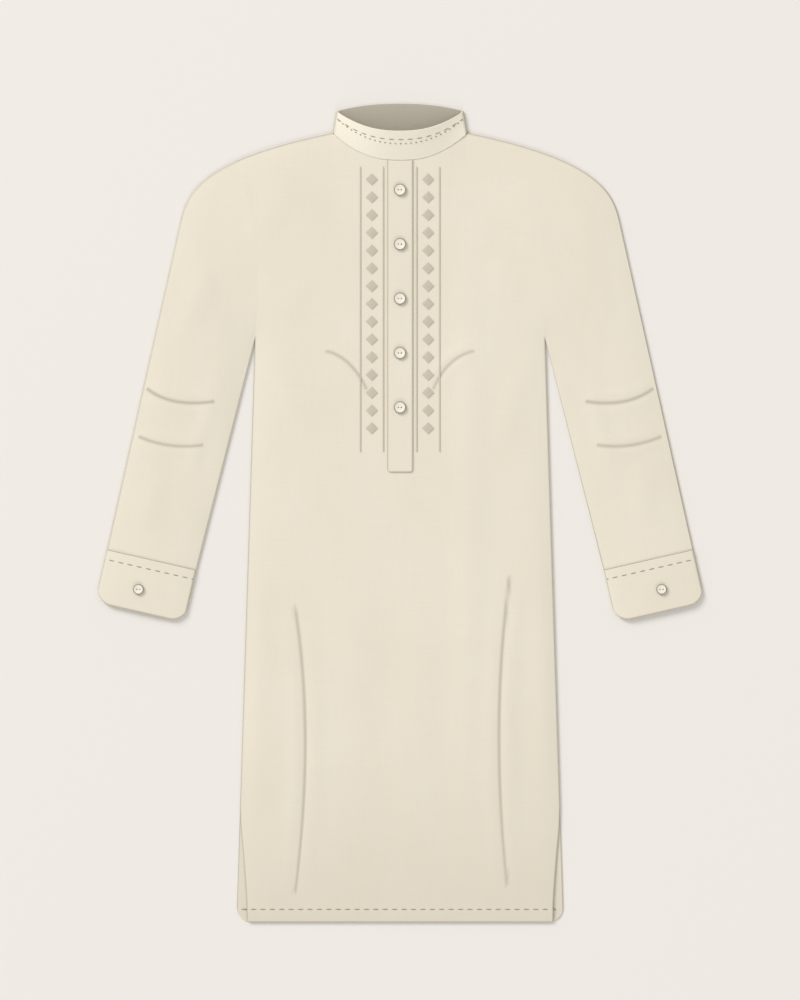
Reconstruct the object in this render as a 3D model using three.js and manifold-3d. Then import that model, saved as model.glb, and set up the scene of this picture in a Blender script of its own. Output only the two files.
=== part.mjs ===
// A long straight kurta in plain cream cloth, laid out flat on its back, in millimetres.
// x runs across the garment (+x is the wearer's left), y runs up it from hem to neck, and
// z rises from the surface that it lies on. Heights up the garment are counted from the
// hem, and the finished group is moved so that its origin is the middle of its footprint.
//
// Two layers lie on each other. The under layer is flat on the surface: the back panel, the
// back of the sleeves and cuffs, and the back of the collar band. The over layer lies 0.3 mm
// above it at every seam, is held a little higher inside by the trapped air, and carries the
// folds, the placket, the stitched cords, the embroidered lozenges and the buttons.

import * as THREE from 'three';
import Module from 'manifold-3d';
import { mergeVertices } from 'three/addons/utils/BufferGeometryUtils.js';

const wasm = await Module();
wasm.setup();

// ---------------------------------------------------------------- driving dimensions

const LENGTH = 1050;            // neck point to hem
const TOTAL_LENGTH = 1088.6;    // hem to the top of the collar band at the back
const CLOTH = 1.2;              // wall of the cotton cloth
const GAP = 0.3;                // between pieces at every seam

const NECK = { half: 89.6, frontDrop: 36.4, backDrop: 3, curve: 2.3 };
const SHOULDER = {              // outline from the neck point over the shoulder to the sleeve
  start: [89.6, LENGTH], lead: [268.8, 1013.4], turn: [283.8, 969.6], end: [292.5, 930.6],
};
const ARMHOLE = { topX: 218, hollow: 14 };
const UNDERARM = { x: 193, y: 777 };
const HEM = { half: 217.6, corner: 20 };
const SLEEVE_END = { outer: [390.2, 495.3], inner: [271.2, 468.2] };
const CUFF = { depth: 71, wall: 1.8, corner: 21.3 };
const COLLAR = { wall: 2, topHalf: 84.6, cornerHeight: 28.9, frontDrop: 26.9, backRise: 10.1 };
const COLLAR_STAND = { seam: 2.2, top: 16.5 };
const FOLD_GAP = 0.8;           // between the two layers where a tube is folded
const PLACKET = { half: 16.9, bottom: 598.7, corner: 4, wall: 1.2 };
const CORDS = { xs: [22.2, 52.7], top: 1004.8, bottom: 625.8, width: 1.8, height: 0.9, crown: 0.6 };
const LOZENGES = {
  x: 37.5, count: 15, top: 988.1, pitch: 23.65, half: 8, height: 1.1, edgeHeight: 0.44, flat: 0.6,
};
const PLACKET_BUTTONS = { count: 5, top: 974.4, pitch: 72.4, radius: 8.2 };
const CUFF_BUTTON = { across: 52.7, down: 41.9, radius: 7.2 };
const BUTTON = {
  height: 2.8, under: 1, edge: 0.7, rim: 2.3, slope: 0.9, dish: 0.4, holeRadius: 0.9, holeSpread: 2,
};
const LOFT = { height: 2.2, reach: 16, neck: 1.6, neckReach: 60 };

// Number of straight spans that each curved run is divided into.
const SPANS = {
  neck: 12, shoulder: 6, panel: 40, hemCorner: 6, backArmhole: 10, backShoulder: 10, backNeck: 8,
  outline: 12, fold: 16, sleeve: 20, cuff: 4, collar: 4, placket: 24, buttonRim: 12,
};
const TUBE_SPANS = {            // of a flattened tube: its under layer, a fold, its over layer
  sleeve: { under: 3, fold: 3, over: 9 },
  cuff: { under: 6, fold: 4, over: 12 },
  collar: { under: 10, fold: 4, over: SPANS.neck },
};
const SIDES = { button: 18, hole: 8 };

// How far the front panel's edge swings in from the back panel's below the side slit.
const SLIT = [
  { y: 154.4, swing: 0 },
  { y: 129, swing: 1.4 },
  { y: 94, swing: 5.9 },
  { y: 53, swing: 10.5 },
  { y: 27, swing: 13 },
  { y: 0, swing: 14.2 },
];

// The largest folds: a soft ridge from one end over its middle to the other end. `side` is
// 1 or -1 for one half of the garment and 0 for a pair, one on each half.
const FOLDS = [
  { name: 'chest', side: 0, x1: 100, y1: 762, xm: 66, ym: 740, x2: 43, y2: 706, wide: 9, high: 2.4 },
  { name: 'sleeve upper', side: 0, x1: 342, y1: 713, xm: 297, ym: 692, x2: 243, y2: 693, wide: 10, high: 2.6 },
  { name: 'sleeve lower', side: 0, x1: 352, y1: 648, xm: 306, ym: 634, x2: 258, y2: 635, wide: 9, high: 2.2 },
  { name: 'skirt right', side: -1, x1: 141, y1: 424, xm: 125, ym: 240, x2: 141, y2: 34, wide: 12, high: 3.0 },
  { name: 'skirt left', side: 1, x1: 147, y1: 466, xm: 132, ym: 262, x2: 143, y2: 44, wide: 12, high: 2.8 },
  { name: 'side press', side: 1, x1: 92, y1: 900, xm: 93, ym: 480, x2: 92, y2: 60, wide: 20, high: 1.2 },
];

// ---------------------------------------------------------------- small helpers

const lerp = (a, b, t) => a + (b - a) * t;
const range = (n) => Array.from({ length: n + 1 }, (_, i) => i / n);
const eased = (t) => (1 - Math.cos(Math.PI * t)) / 2;

// Value of a column of a table at y, straight between its rows (rows run down the garment).
function fromTable(rows, y, column) {
  if (y >= rows[0].y) return rows[0][column];
  for (let i = 1; i < rows.length; i++) {
    const [above, below] = [rows[i - 1], rows[i]];
    if (y >= below.y) return lerp(below[column], above[column], (y - below.y) / (above.y - below.y));
  }
  return rows.at(-1)[column];
}

// A closed sheet of cloth from a grid of stations, each { inner: [x,y,z], outer: [x,y,z] }.
// grid[j][i] has i round or across the piece and j along it. `ring` joins the last station
// to the first, and `flip` turns the faces of a mirrored piece the right way out.
function sheetGeometry(grid, { ring = false, flip = false } = {}) {
  const rows = grid.length;
  const cols = grid[0].length;
  const positions = [];
  for (const side of ['outer', 'inner']) {
    for (const row of grid) for (const station of row) positions.push(...station[side]);
  }
  const at = (side, j, i) => side * rows * cols + j * cols + (i % cols);
  const index = [];
  const quad = (a, b, c, d) => {
    if (flip) index.push(a, c, b, a, d, c);
    else index.push(a, b, c, a, c, d);
  };
  const spans = ring ? cols : cols - 1;
  for (let j = 0; j < rows - 1; j++) {
    for (let i = 0; i < spans; i++) {
      quad(at(0, j, i), at(0, j, i + 1), at(0, j + 1, i + 1), at(0, j + 1, i));
      quad(at(1, j, i), at(1, j + 1, i), at(1, j + 1, i + 1), at(1, j, i + 1));
    }
  }
  for (let i = 0; i < spans; i++) {
    quad(at(1, 0, i), at(1, 0, i + 1), at(0, 0, i + 1), at(0, 0, i));
    const top = rows - 1;
    quad(at(0, top, i), at(0, top, i + 1), at(1, top, i + 1), at(1, top, i));
  }
  if (!ring) {
    const last = cols - 1;
    for (let j = 0; j < rows - 1; j++) {
      quad(at(1, j, 0), at(0, j, 0), at(0, j + 1, 0), at(1, j + 1, 0));
      quad(at(0, j, last), at(1, j, last), at(1, j + 1, last), at(0, j + 1, last));
    }
  }
  const geometry = new THREE.BufferGeometry();
  geometry.setAttribute('position', new THREE.Float32BufferAttribute(positions, 3));
  geometry.setIndex(index);
  return geometry;
}

// ---------------------------------------------------------------- outline of the garment

const point2 = ([x, y]) => new THREE.Vector2(x, y);
const shoulderCurve = new THREE.CubicBezierCurve(
  point2(SHOULDER.start), point2(SHOULDER.lead), point2(SHOULDER.turn), point2(SHOULDER.end));

// Curve parameter where the shoulder outline is x from the middle, by halving.
const HALVINGS = 40;
function shoulderParameter(x) {
  let [low, high] = [0, 1];
  for (let step = 0; step < HALVINGS; step++) {
    const middle = (low + high) / 2;
    if (shoulderCurve.getPoint(middle).x < x) low = middle;
    else high = middle;
  }
  return low;
}
const armholeT = shoulderParameter(ARMHOLE.topX);
const armholeTop = shoulderCurve.getPoint(armholeT);
const capEnd = point2(SHOULDER.end);
const underarm = new THREE.Vector2(UNDERARM.x, UNDERARM.y);
const shoulderY = (x) => shoulderCurve.getPoint(shoulderParameter(x)).y;

const neckArc = (x, half) => 1 - Math.min(1, Math.abs(x) / half) ** NECK.curve;
const frontNeckY = (x) => LENGTH - NECK.frontDrop * neckArc(x, NECK.half);
const backNeckY = (x) => LENGTH - NECK.backDrop * neckArc(x, NECK.half);

// The armhole seam is hollowed a little towards the body.
function armholeX(y) {
  const down = (armholeTop.y - y) / (armholeTop.y - UNDERARM.y);
  return lerp(armholeTop.x, UNDERARM.x, down) - ARMHOLE.hollow * 4 * down * (1 - down);
}
const sideX = (y) => lerp(HEM.half, UNDERARM.x, y / UNDERARM.y);
const bodyHalf = (y) => (y > UNDERARM.y ? armholeX(y) - GAP / 2 : sideX(y) - GAP / 2);

// Sleeve frame at its end: `across` runs from the outer to the inner edge, `along` to the cuff.
const sleeveOuter = point2(SLEEVE_END.outer);
const sleeveInner = point2(SLEEVE_END.inner);
const cuffWidth = sleeveOuter.distanceTo(sleeveInner);
const across = sleeveInner.clone().sub(sleeveOuter).normalize();
const along = new THREE.Vector2(-across.y, across.x);
const cuffPoint = (q, d) => sleeveOuter.clone().addScaledVector(across, q).addScaledVector(along, d);

const outline = [
  ...range(SPANS.outline).map((t) => shoulderCurve.getPoint(t)),
  sleeveOuter, cuffPoint(0, CUFF.depth), cuffPoint(cuffWidth, CUFF.depth), sleeveInner,
  underarm, new THREE.Vector2(HEM.half, 0), new THREE.Vector2(0, 0),
];

function distanceToOutline(x, y) {
  const p = new THREE.Vector3(Math.abs(x), y, 0);
  const near = new THREE.Vector3();
  let best = Infinity;
  for (let i = 1; i < outline.length; i++) {
    const [a, b] = [outline[i - 1], outline[i]];
    new THREE.Line3(new THREE.Vector3(a.x, a.y, 0), new THREE.Vector3(b.x, b.y, 0))
      .closestPointToPoint(p, true, near);
    best = Math.min(best, near.distanceTo(p));
  }
  return best;
}

// ---------------------------------------------------------------- height of the over layer

const folds = FOLDS.flatMap((fold) => (fold.side === 0 ? [-1, 1] : [fold.side]).map((side) => {
  const [start, middle, end] = [[fold.x1, fold.y1], [fold.xm, fold.ym], [fold.x2, fold.y2]]
    .map(([x, y]) => new THREE.Vector2(side * x, y));
  const pull = middle.clone().multiplyScalar(2).sub(start.clone().add(end).multiplyScalar(0.5));
  return { points: new THREE.QuadraticBezierCurve(start, pull, end).getPoints(SPANS.fold), ...fold };
}));

// A ridge fades out to both sides, and towards both of its ends to END_SHARE of half a wave.
const END_SHARE = 0.05;
function foldHeight(x, y) {
  const p = new THREE.Vector2(x, y);
  let height = 0;
  for (const { points, wide, high } of folds) {
    let [best, where] = [Infinity, 0];
    points.forEach((q, i) => {
      const d = q.distanceTo(p);
      if (d < best) [best, where] = [d, i / (points.length - 1)];
    });
    const along = Math.sin(Math.PI * lerp(END_SHARE, 1 - END_SHARE, where));
    height += high * along * Math.exp(-((best / wide) ** 2));
  }
  return height;
}

// Underside of the over layer above the surface that the garment lies on.
function lift(x, y) {
  const fromEdge = distanceToOutline(x, y);
  const air = LOFT.height * (1 - Math.exp(-fromEdge / LOFT.reach));
  const belowNeck = Math.max(0, frontNeckY(x) - y);
  const neck = LOFT.neck * neckArc(x, NECK.half) * Math.exp(-belowNeck / LOFT.neckReach);
  const inside = Math.min(1, fromEdge / LOFT.reach);
  return CLOTH + GAP + air + neck + foldHeight(x, y) * inside;
}

// ---------------------------------------------------------------- colours

const cloth = (name) => new THREE.MeshStandardMaterial({
  name, color: 0xebe3d1, roughness: 0.9, metalness: 0,
});
const threadMaterial = new THREE.MeshStandardMaterial({ color: 0xc8c0ae, roughness: 0.7, metalness: 0 });
const buttonMaterial = new THREE.MeshStandardMaterial({ color: 0xf8f2e4, roughness: 0.35, metalness: 0 });

const kurta = new THREE.Group();
kurta.name = 'kurta';
kurta.position.y = -TOTAL_LENGTH / 2;

function addPiece(name, geometry, material) {
  const mesh = new THREE.Mesh(geometry, material);
  mesh.name = name;
  kurta.add(mesh);
  return mesh;
}

// ---------------------------------------------------------------- front and back panels

// The neckline's points are shared by the collar and the front, so that their edges follow
// each other: closer together towards the neck points.
const collarFold = COLLAR.wall + FOLD_GAP / 2;
const neckXs = range(SPANS.neck / 2).map((t) => (NECK.half - collarFold) * Math.sin((Math.PI / 2) * t));

// Columns of the front: the neckline's points, then an even set along the shoulder.
const frontHalfColumns = [
  ...[...neckXs, NECK.half].map((x) => x / armholeTop.x),
  ...range(SPANS.shoulder).slice(1).map((t) => lerp(NECK.half / armholeTop.x, 1, t)),
];
const frontColumns = [...frontHalfColumns.slice(1).reverse().map((u) => -u), ...frontHalfColumns];
const frontRows = range(SPANS.panel);

const ON_EDGE = 1e-6;           // allowance for rounding where a point lies on an edge

function frontPoint(u, v) {
  const edgeY = v * armholeTop.y;
  const half = bodyHalf(edgeY) - fromTable(SLIT, edgeY, 'swing');
  const topX = Math.abs(u) * armholeTop.x;
  const topY = topX < NECK.half + ON_EDGE ? frontNeckY(topX) - GAP : shoulderY(topX);
  return [u * half, v * topY];
}

const frontGrid = frontRows.map((v) => frontColumns.map((u) => {
  const [x, y] = frontPoint(u, v);
  const z = lift(x, y);
  return { inner: [x, y, z], outer: [x, y, z + CLOTH] };
}));

// Height of the front panel's outer face at a point, on the panel's own triangles.
function frontTop(x, y) {
  for (let j = 0; j < frontGrid.length - 1; j++) {
    for (let i = 0; i < frontColumns.length - 1; i++) {
      const a = frontGrid[j][i].outer;
      const c = frontGrid[j + 1][i + 1].outer;
      for (const b of [frontGrid[j][i + 1].outer, frontGrid[j + 1][i].outer]) {
        const area = (b[0] - a[0]) * (c[1] - a[1]) - (c[0] - a[0]) * (b[1] - a[1]);
        const shareB = ((x - a[0]) * (c[1] - a[1]) - (c[0] - a[0]) * (y - a[1])) / area;
        const shareC = ((b[0] - a[0]) * (y - a[1]) - (x - a[0]) * (b[1] - a[1])) / area;
        const shareA = 1 - shareB - shareC;
        if (Math.min(shareA, shareB, shareC) >= -ON_EDGE) return a[2] * shareA + b[2] * shareB + c[2] * shareC;
      }
    }
  }
  throw new Error(`no front panel under ${x}, ${y}`);
}

// Where a line up the panel at x crosses the edges of its triangles, from bottom to top, no
// two closer than SHORTEST_ROW.
const SHORTEST_ROW = 2;
function panelCrossings(x, bottom, top) {
  const ys = [];
  const addCrossing = (a, b) => {
    const share = (x - a[0]) / (b[0] - a[0]);
    const y = lerp(a[1], b[1], share);
    const between = y > bottom + SHORTEST_ROW / 2 && y < top - SHORTEST_ROW / 2;
    if (share >= 0 && share <= 1 && between) ys.push(y);
  };
  for (let j = 1; j < frontGrid.length; j++) {
    for (let i = 1; i < frontColumns.length; i++) {
      const corner = frontGrid[j][i].outer;
      addCrossing(frontGrid[j][i - 1].outer, corner);
      addCrossing(frontGrid[j - 1][i - 1].outer, corner);
    }
  }
  ys.sort((a, b) => a - b);
  return [bottom, ...ys.filter((y, i) => i === 0 || y - ys[i - 1] > SHORTEST_ROW), top];
}

// The back panel is flat, with rounded corners at the hem that show beside the front.
function backGeometry() {
  const right = [];
  for (const t of range(SPANS.hemCorner)) {
    const turn = (Math.PI / 2) * t;
    const y = HEM.corner * (1 - Math.cos(turn));
    right.push([bodyHalf(y) - HEM.corner * (1 - Math.sin(turn)), y]);
  }
  right.push([bodyHalf(UNDERARM.y), UNDERARM.y]);
  for (const t of range(SPANS.backArmhole).slice(1)) {
    const y = lerp(UNDERARM.y, armholeTop.y, t);
    right.push([armholeX(y) - GAP / 2, y]);
  }
  for (const t of range(SPANS.backShoulder).slice(1)) {
    const x = lerp(armholeTop.x - GAP / 2, NECK.half, t);
    right.push([x, shoulderY(x)]);
  }
  for (const t of range(SPANS.backNeck)) {
    const x = NECK.half * (1 - t);
    right.push([x, backNeckY(x) - GAP]);
  }
  const left = right.slice(0, -1).reverse().map(([x, y]) => [-x, y]);
  const shape = new THREE.Shape([...right, ...left].map(point2));
  return new THREE.ExtrudeGeometry(shape, { depth: CLOTH, bevelEnabled: false });
}

addPiece('back', backGeometry(), cloth('back'));
addPiece('front', sheetGeometry(frontGrid), cloth('front'));

// ---------------------------------------------------------------- flattened tubes

// Section of a flattened tube of cloth, as stations { q, z } for its inside and its outside.
// q runs across from the folded edge at 0 to `width`. The under layer lies on the surface,
// the over layer at liftAt(q). `closed` folds the far edge too; otherwise the two layers
// meet there at a seam. counts is a row of TUBE_SPANS.
function tubeSection(width, wall, liftAt, counts, closed) {
  const inside = FOLD_GAP / 2;
  const fold = wall + inside;
  const far = closed ? width - fold : width;
  const stations = [];
  const add = (layer, inner, outer) => stations.push({
    layer, inner: { q: inner[0], z: inner[1] }, outer: { q: outer[0], z: outer[1] },
  });
  // A fold turns round a point at height `fold`, towards q = 0 for sign 1 and away for -1.
  const addFold = (centre, sign) => range(counts.fold).slice(1, -1).forEach((t) => {
    const turn = Math.PI * (t - 0.5) * sign;
    const at = (radius) => [centre - sign * radius * Math.cos(turn), fold + radius * Math.sin(turn)];
    add('fold', at(inside), at(fold));
  });
  for (const t of range(counts.under)) {
    const q = lerp(far, fold, eased(t));
    add('under', [q, wall], [q, 0]);
  }
  addFold(fold, 1);
  for (const t of range(counts.over)) {
    const q = lerp(fold, far, eased(t));
    const atFold = t === 0 || (closed && t === 1);
    const z = atFold ? wall + FOLD_GAP : Math.max(wall + GAP, liftAt(q));
    add('over', [q, z], [q, z + wall]);
  }
  if (closed) addFold(far, -1);
  return stations;
}

// ---------------------------------------------------------------- sleeves and cuffs

// The sleeve's outer edge follows the round of the shoulder, then runs straight to the cuff.
const CAP_BULGE = 1.05;         // length of the round over that of the line between its ends
const capLength = armholeTop.distanceTo(capEnd) * CAP_BULGE;
const capShare = capLength / (capLength + capEnd.distanceTo(sleeveOuter));

// A row across the sleeve: its outer point on the outline and its inner point on the seam.
function sleeveRow(v) {
  const outer = v < capShare
    ? shoulderCurve.getPoint(lerp(armholeT, 1, v / capShare))
    : capEnd.clone().lerp(sleeveOuter, (v - capShare) / (1 - capShare));
  const inner = underarm.clone().lerp(sleeveInner, v);
  return { outer, inner, width: outer.distanceTo(inner) };
}

function sleevePoint(row, v, q) {
  const share = q / row.width;
  const p = row.outer.clone().lerp(row.inner, share);
  const hollow = ARMHOLE.hollow * 4 * share * (1 - share) * (1 - v) ** 3;
  return [p.x - hollow + (GAP / 2) * (1 - v), p.y];
}

function sleeveGeometry(side) {
  const grid = range(SPANS.sleeve).map((v) => {
    const row = sleeveRow(v);
    const liftAt = (q) => lift(...sleevePoint(row, v, q));
    return tubeSection(row.width, CLOTH, liftAt, TUBE_SPANS.sleeve, false).map(({ inner, outer }) => {
      const place = ({ q, z }) => {
        const [x, y] = sleevePoint(row, v, q);
        return [side * x, y, z];
      };
      return { inner: place(inner), outer: place(outer) };
    });
  });
  return sheetGeometry(grid, { flip: side < 0 });
}

// Depth of the cuff at q across it: its lower corners are rounded.
function cuffDepth(q) {
  const fromEdge = Math.min(q, cuffWidth - q);
  if (fromEdge >= CUFF.corner) return CUFF.depth;
  const inset = CUFF.corner - Math.max(0, fromEdge);
  return CUFF.depth - CUFF.corner + Math.sqrt(CUFF.corner ** 2 - inset ** 2);
}
const cuffLift = (q) => CUFF.wall + FOLD_GAP
  + LOFT.height * (1 - Math.exp(-Math.min(q, cuffWidth - q) / LOFT.reach));

function cuffGeometry(side) {
  const section = tubeSection(cuffWidth, CUFF.wall, cuffLift, TUBE_SPANS.cuff, true);
  const grid = range(SPANS.cuff).map((share) => section.map(({ inner, outer }) => {
    const middle = (inner.q + outer.q) / 2;
    const place = ({ q, z }) => {
      const p = cuffPoint(q, lerp(GAP, cuffDepth(middle), share));
      return [side * p.x, p.y, z];
    };
    return { inner: place(inner), outer: place(outer) };
  }));
  return sheetGeometry(grid, { ring: true, flip: side < 0 });
}

for (const [name, side] of [['left', 1], ['right', -1]]) {
  addPiece(`sleeve_${name}`, sleeveGeometry(side), cloth(`sleeve_${name}`));
  addPiece(`cuff_${name}`, cuffGeometry(side), cloth(`cuff_${name}`));
}

// ---------------------------------------------------------------- collar band

// The band is a flattened ring that stands open: its back lies down and its front stands up
// from the neck seam, so that its mouth shows the inside of the back.
function collarGeometry() {
  const grid = range(SPANS.collar).map((up) => {
    const half = lerp(NECK.half, COLLAR.topHalf, up);
    const stand = lerp(COLLAR_STAND.seam, COLLAR_STAND.top, up);
    const liftAt = (q) => COLLAR.wall + FOLD_GAP + stand * neckArc(q - half, half);
    const cornerY = LENGTH + COLLAR.cornerHeight * up;
    const frontY = (x) => cornerY - lerp(NECK.frontDrop, COLLAR.frontDrop, up) * neckArc(x, half);
    const backY = (x) => cornerY + lerp(-NECK.backDrop, COLLAR.backRise, up) * neckArc(x, half);
    const section = tubeSection(2 * half, COLLAR.wall, liftAt, TUBE_SPANS.collar, true);
    return section.map(({ inner, outer, layer }) => {
      const place = ({ q, z }) => {
        const x = q - half;
        const y = { under: backY(x), over: frontY(x), fold: cornerY }[layer];
        return [x, y, z];
      };
      return { inner: place(inner), outer: place(outer) };
    });
  });
  return sheetGeometry(grid, { ring: true });
}
addPiece('collar', collarGeometry(), cloth('collar'));

// ---------------------------------------------------------------- what lies on the front

// A strip on the front panel: made from the panel's own points, moved out by the seam gap.
function stripGeometry({ columns, rows, halfAt, bottomY, topY, height, crown }) {
  return sheetGeometry(rows.map((v) => columns.map((u) => {
    const yMiddle = lerp(bottomY, topY(0), v);
    const x0 = halfAt.centre + u * halfAt.half(yMiddle);
    const y = lerp(bottomY, topY(x0), v);
    const base = frontTop(x0, y) + GAP;
    return { inner: [x0, y, base], outer: [x0, y, base + height * (1 - crown * u * u)] };
  })));
}

const CORNER_ROWS = [0, 0.15, 0.5, 1];   // of the placket, as shares of its corner
function placketGeometry() {
  const half = (y) => {
    const low = PLACKET.corner - (y - PLACKET.bottom);
    if (low <= 0) return PLACKET.half;
    return PLACKET.half - PLACKET.corner + Math.sqrt(PLACKET.corner ** 2 - Math.min(low, PLACKET.corner) ** 2);
  };
  const cornerShare = PLACKET.corner / (LENGTH - NECK.frontDrop - PLACKET.bottom);
  return stripGeometry({
    columns: [-1, -0.5, 0, 0.5, 1],
    rows: [
      ...CORNER_ROWS.map((share) => cornerShare * share),
      ...range(SPANS.placket).slice(1).map((t) => lerp(cornerShare, 1, t)),
    ],
    halfAt: { centre: 0, half },
    bottomY: PLACKET.bottom,
    topY: (x) => frontNeckY(x) - GAP,
    height: PLACKET.wall,
    crown: 0,
  });
}
addPiece('placket', placketGeometry(), cloth('placket'));
const placketTop = (x, y) => frontTop(x, y) + GAP + PLACKET.wall;

for (const [side, name] of [[1, 'left'], [-1, 'right']]) {
  CORDS.xs.forEach((x, i) => {
    const geometry = stripGeometry({
      columns: [-1, 0, 1],
      rows: panelCrossings(side * x, CORDS.bottom, CORDS.top)
        .map((y) => (y - CORDS.bottom) / (CORDS.top - CORDS.bottom)),
      halfAt: { centre: side * x, half: () => CORDS.width / 2 },
      bottomY: CORDS.bottom,
      topY: () => CORDS.top,
      height: CORDS.height,
      crown: CORDS.crown,
    });
    addPiece(`cord_${name}_${['inner', 'outer'][i]}`, geometry, threadMaterial);
  });
}

// A lozenge of satin stitch: a low pad with four bevels round a flat top.
function lozengeGeometry(x, y) {
  const corners = [[1, 0], [0, 1], [-1, 0], [0, -1]];
  const ring = (scale, height) => corners.flatMap(([cx, cy]) => {
    const [px, py] = [x + cx * scale * LOZENGES.half, y + cy * scale * LOZENGES.half];
    return [px, py, frontTop(px, py) + GAP + height];
  });
  const positions = [
    ...ring(1, 0), ...ring(1, LOZENGES.edgeHeight), ...ring(LOZENGES.flat, LOZENGES.height),
  ];
  const underside = [0, 2, 1, 0, 3, 2];
  const flatTop = [8, 9, 10, 8, 10, 11];
  const index = [...underside, ...flatTop];
  for (let level = 0; level < 2; level++) {
    for (let i = 0; i < 4; i++) {
      const [a, b] = [level * 4 + i, level * 4 + ((i + 1) % 4)];
      index.push(a, b, b + 4, a, b + 4, a + 4);
    }
  }
  const geometry = new THREE.BufferGeometry();
  geometry.setAttribute('position', new THREE.Float32BufferAttribute(positions, 3));
  geometry.setIndex(index);
  return geometry;
}

for (const [side, name] of [[1, 'left'], [-1, 'right']]) {
  for (let i = 0; i < LOZENGES.count; i++) {
    const y = LOZENGES.top - i * LOZENGES.pitch;
    const number = String(i + 1).padStart(2, '0');
    addPiece(`lozenge_${name}_${number}`, lozengeGeometry(side * LOZENGES.x, y), threadMaterial);
  }
}

// ---------------------------------------------------------------- buttons

// Merged position-only copy of a three.js geometry, as a solid for cutting.
const SAME_POINT = 1e-4;
function toSolid(geometry) {
  const bare = geometry.clone();
  bare.deleteAttribute('normal');
  bare.deleteAttribute('uv');
  const merged = mergeVertices(bare, SAME_POINT);
  return new wasm.Manifold(new wasm.Mesh({
    numProp: 3,
    vertProperties: new Float32Array(merged.attributes.position.array),
    triVerts: new Uint32Array(merged.index.array),
  }));
}

// A round button with a chamfered edge, a flat rim, a dished face and two holes side by side.
function buttonGeometry(radius) {
  const { height, under, edge, rim, slope, dish, holeRadius, holeSpread } = BUTTON;
  const profile = [
    [0, 0], [radius - under, 0], [radius, under], [radius, height - edge], [radius - edge, height],
    [radius - rim, height], [radius - rim - slope, height - dish], [0, height - dish],
  ].map(point2);
  let solid = toSolid(new THREE.LatheGeometry(profile, SIDES.button).rotateX(Math.PI / 2));
  for (const x of [-holeSpread, holeSpread]) {
    const hole = new THREE.CylinderGeometry(holeRadius, holeRadius, 4 * height, SIDES.hole)
      .rotateX(Math.PI / 2).translate(x, 0, height / 2);
    solid = solid.subtract(toSolid(hole));
  }
  const mesh = solid.getMesh();
  const geometry = new THREE.BufferGeometry();
  geometry.setAttribute('position', new THREE.BufferAttribute(new Float32Array(mesh.vertProperties), 3));
  geometry.setIndex(new THREE.BufferAttribute(new Uint32Array(mesh.triVerts), 1));
  return geometry;
}

// A button rests on the highest point under its rim.
function seatHeight(radius, top) {
  const rim = range(SPANS.buttonRim).map((t) => [Math.cos(2 * Math.PI * t), Math.sin(2 * Math.PI * t)]);
  return Math.max(top(0, 0), ...rim.map(([c, s]) => top(c * radius, s * radius))) + GAP;
}

for (let i = 0; i < PLACKET_BUTTONS.count; i++) {
  const y = PLACKET_BUTTONS.top - i * PLACKET_BUTTONS.pitch;
  const { radius } = PLACKET_BUTTONS;
  const button = addPiece(`button_placket_${i + 1}`, buttonGeometry(radius), buttonMaterial);
  button.position.set(0, y, seatHeight(radius, (dx, dy) => placketTop(dx, y + dy)));
}

for (const [name, side] of [['left', 1], ['right', -1]]) {
  const { across: q, down, radius } = CUFF_BUTTON;
  const place = cuffPoint(q, down);
  const button = addPiece(`button_cuff_${name}`, buttonGeometry(radius), buttonMaterial);
  const seat = seatHeight(radius, (dq) => cuffLift(q + dq) + CUFF.wall);
  button.position.set(side * place.x, place.y, seat);
}

export default kurta;
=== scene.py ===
import math

import bpy
import numpy as np
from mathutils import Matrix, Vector


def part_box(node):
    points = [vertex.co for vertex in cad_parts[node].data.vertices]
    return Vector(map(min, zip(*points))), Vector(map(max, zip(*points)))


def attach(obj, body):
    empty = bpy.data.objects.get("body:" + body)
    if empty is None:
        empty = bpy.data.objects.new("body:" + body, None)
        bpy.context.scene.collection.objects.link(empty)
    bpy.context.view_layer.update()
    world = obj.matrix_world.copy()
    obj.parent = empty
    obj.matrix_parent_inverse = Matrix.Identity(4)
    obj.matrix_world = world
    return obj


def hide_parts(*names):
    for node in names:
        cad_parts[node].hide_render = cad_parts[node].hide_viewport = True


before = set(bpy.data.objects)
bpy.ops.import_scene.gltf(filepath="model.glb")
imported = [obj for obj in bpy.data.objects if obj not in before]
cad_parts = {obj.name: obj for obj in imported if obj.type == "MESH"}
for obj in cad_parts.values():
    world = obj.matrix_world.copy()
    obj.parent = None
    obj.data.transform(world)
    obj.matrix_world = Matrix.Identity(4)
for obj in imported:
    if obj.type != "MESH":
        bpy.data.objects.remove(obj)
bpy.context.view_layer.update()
bpy.context.scene.view_settings.view_transform = "Standard"

# ------------------------------------------------------------------ camera
# It looks straight down on the kurta, which lies on its back, from far enough away
# that the garment's outline is nearly undistorted.
VIEW_HEIGHT = 20.0
VIEW_LENGTH = 1.331          # height of the frame on the floor
VIEW_MIDDLE = 0.0173
bpy.ops.object.camera_add(location=(0, VIEW_MIDDLE, VIEW_HEIGHT), rotation=(0, 0, 0))
camera = bpy.context.object
camera.data.lens = camera.data.sensor_width * VIEW_HEIGHT / VIEW_LENGTH
bpy.context.scene.camera = camera

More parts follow.
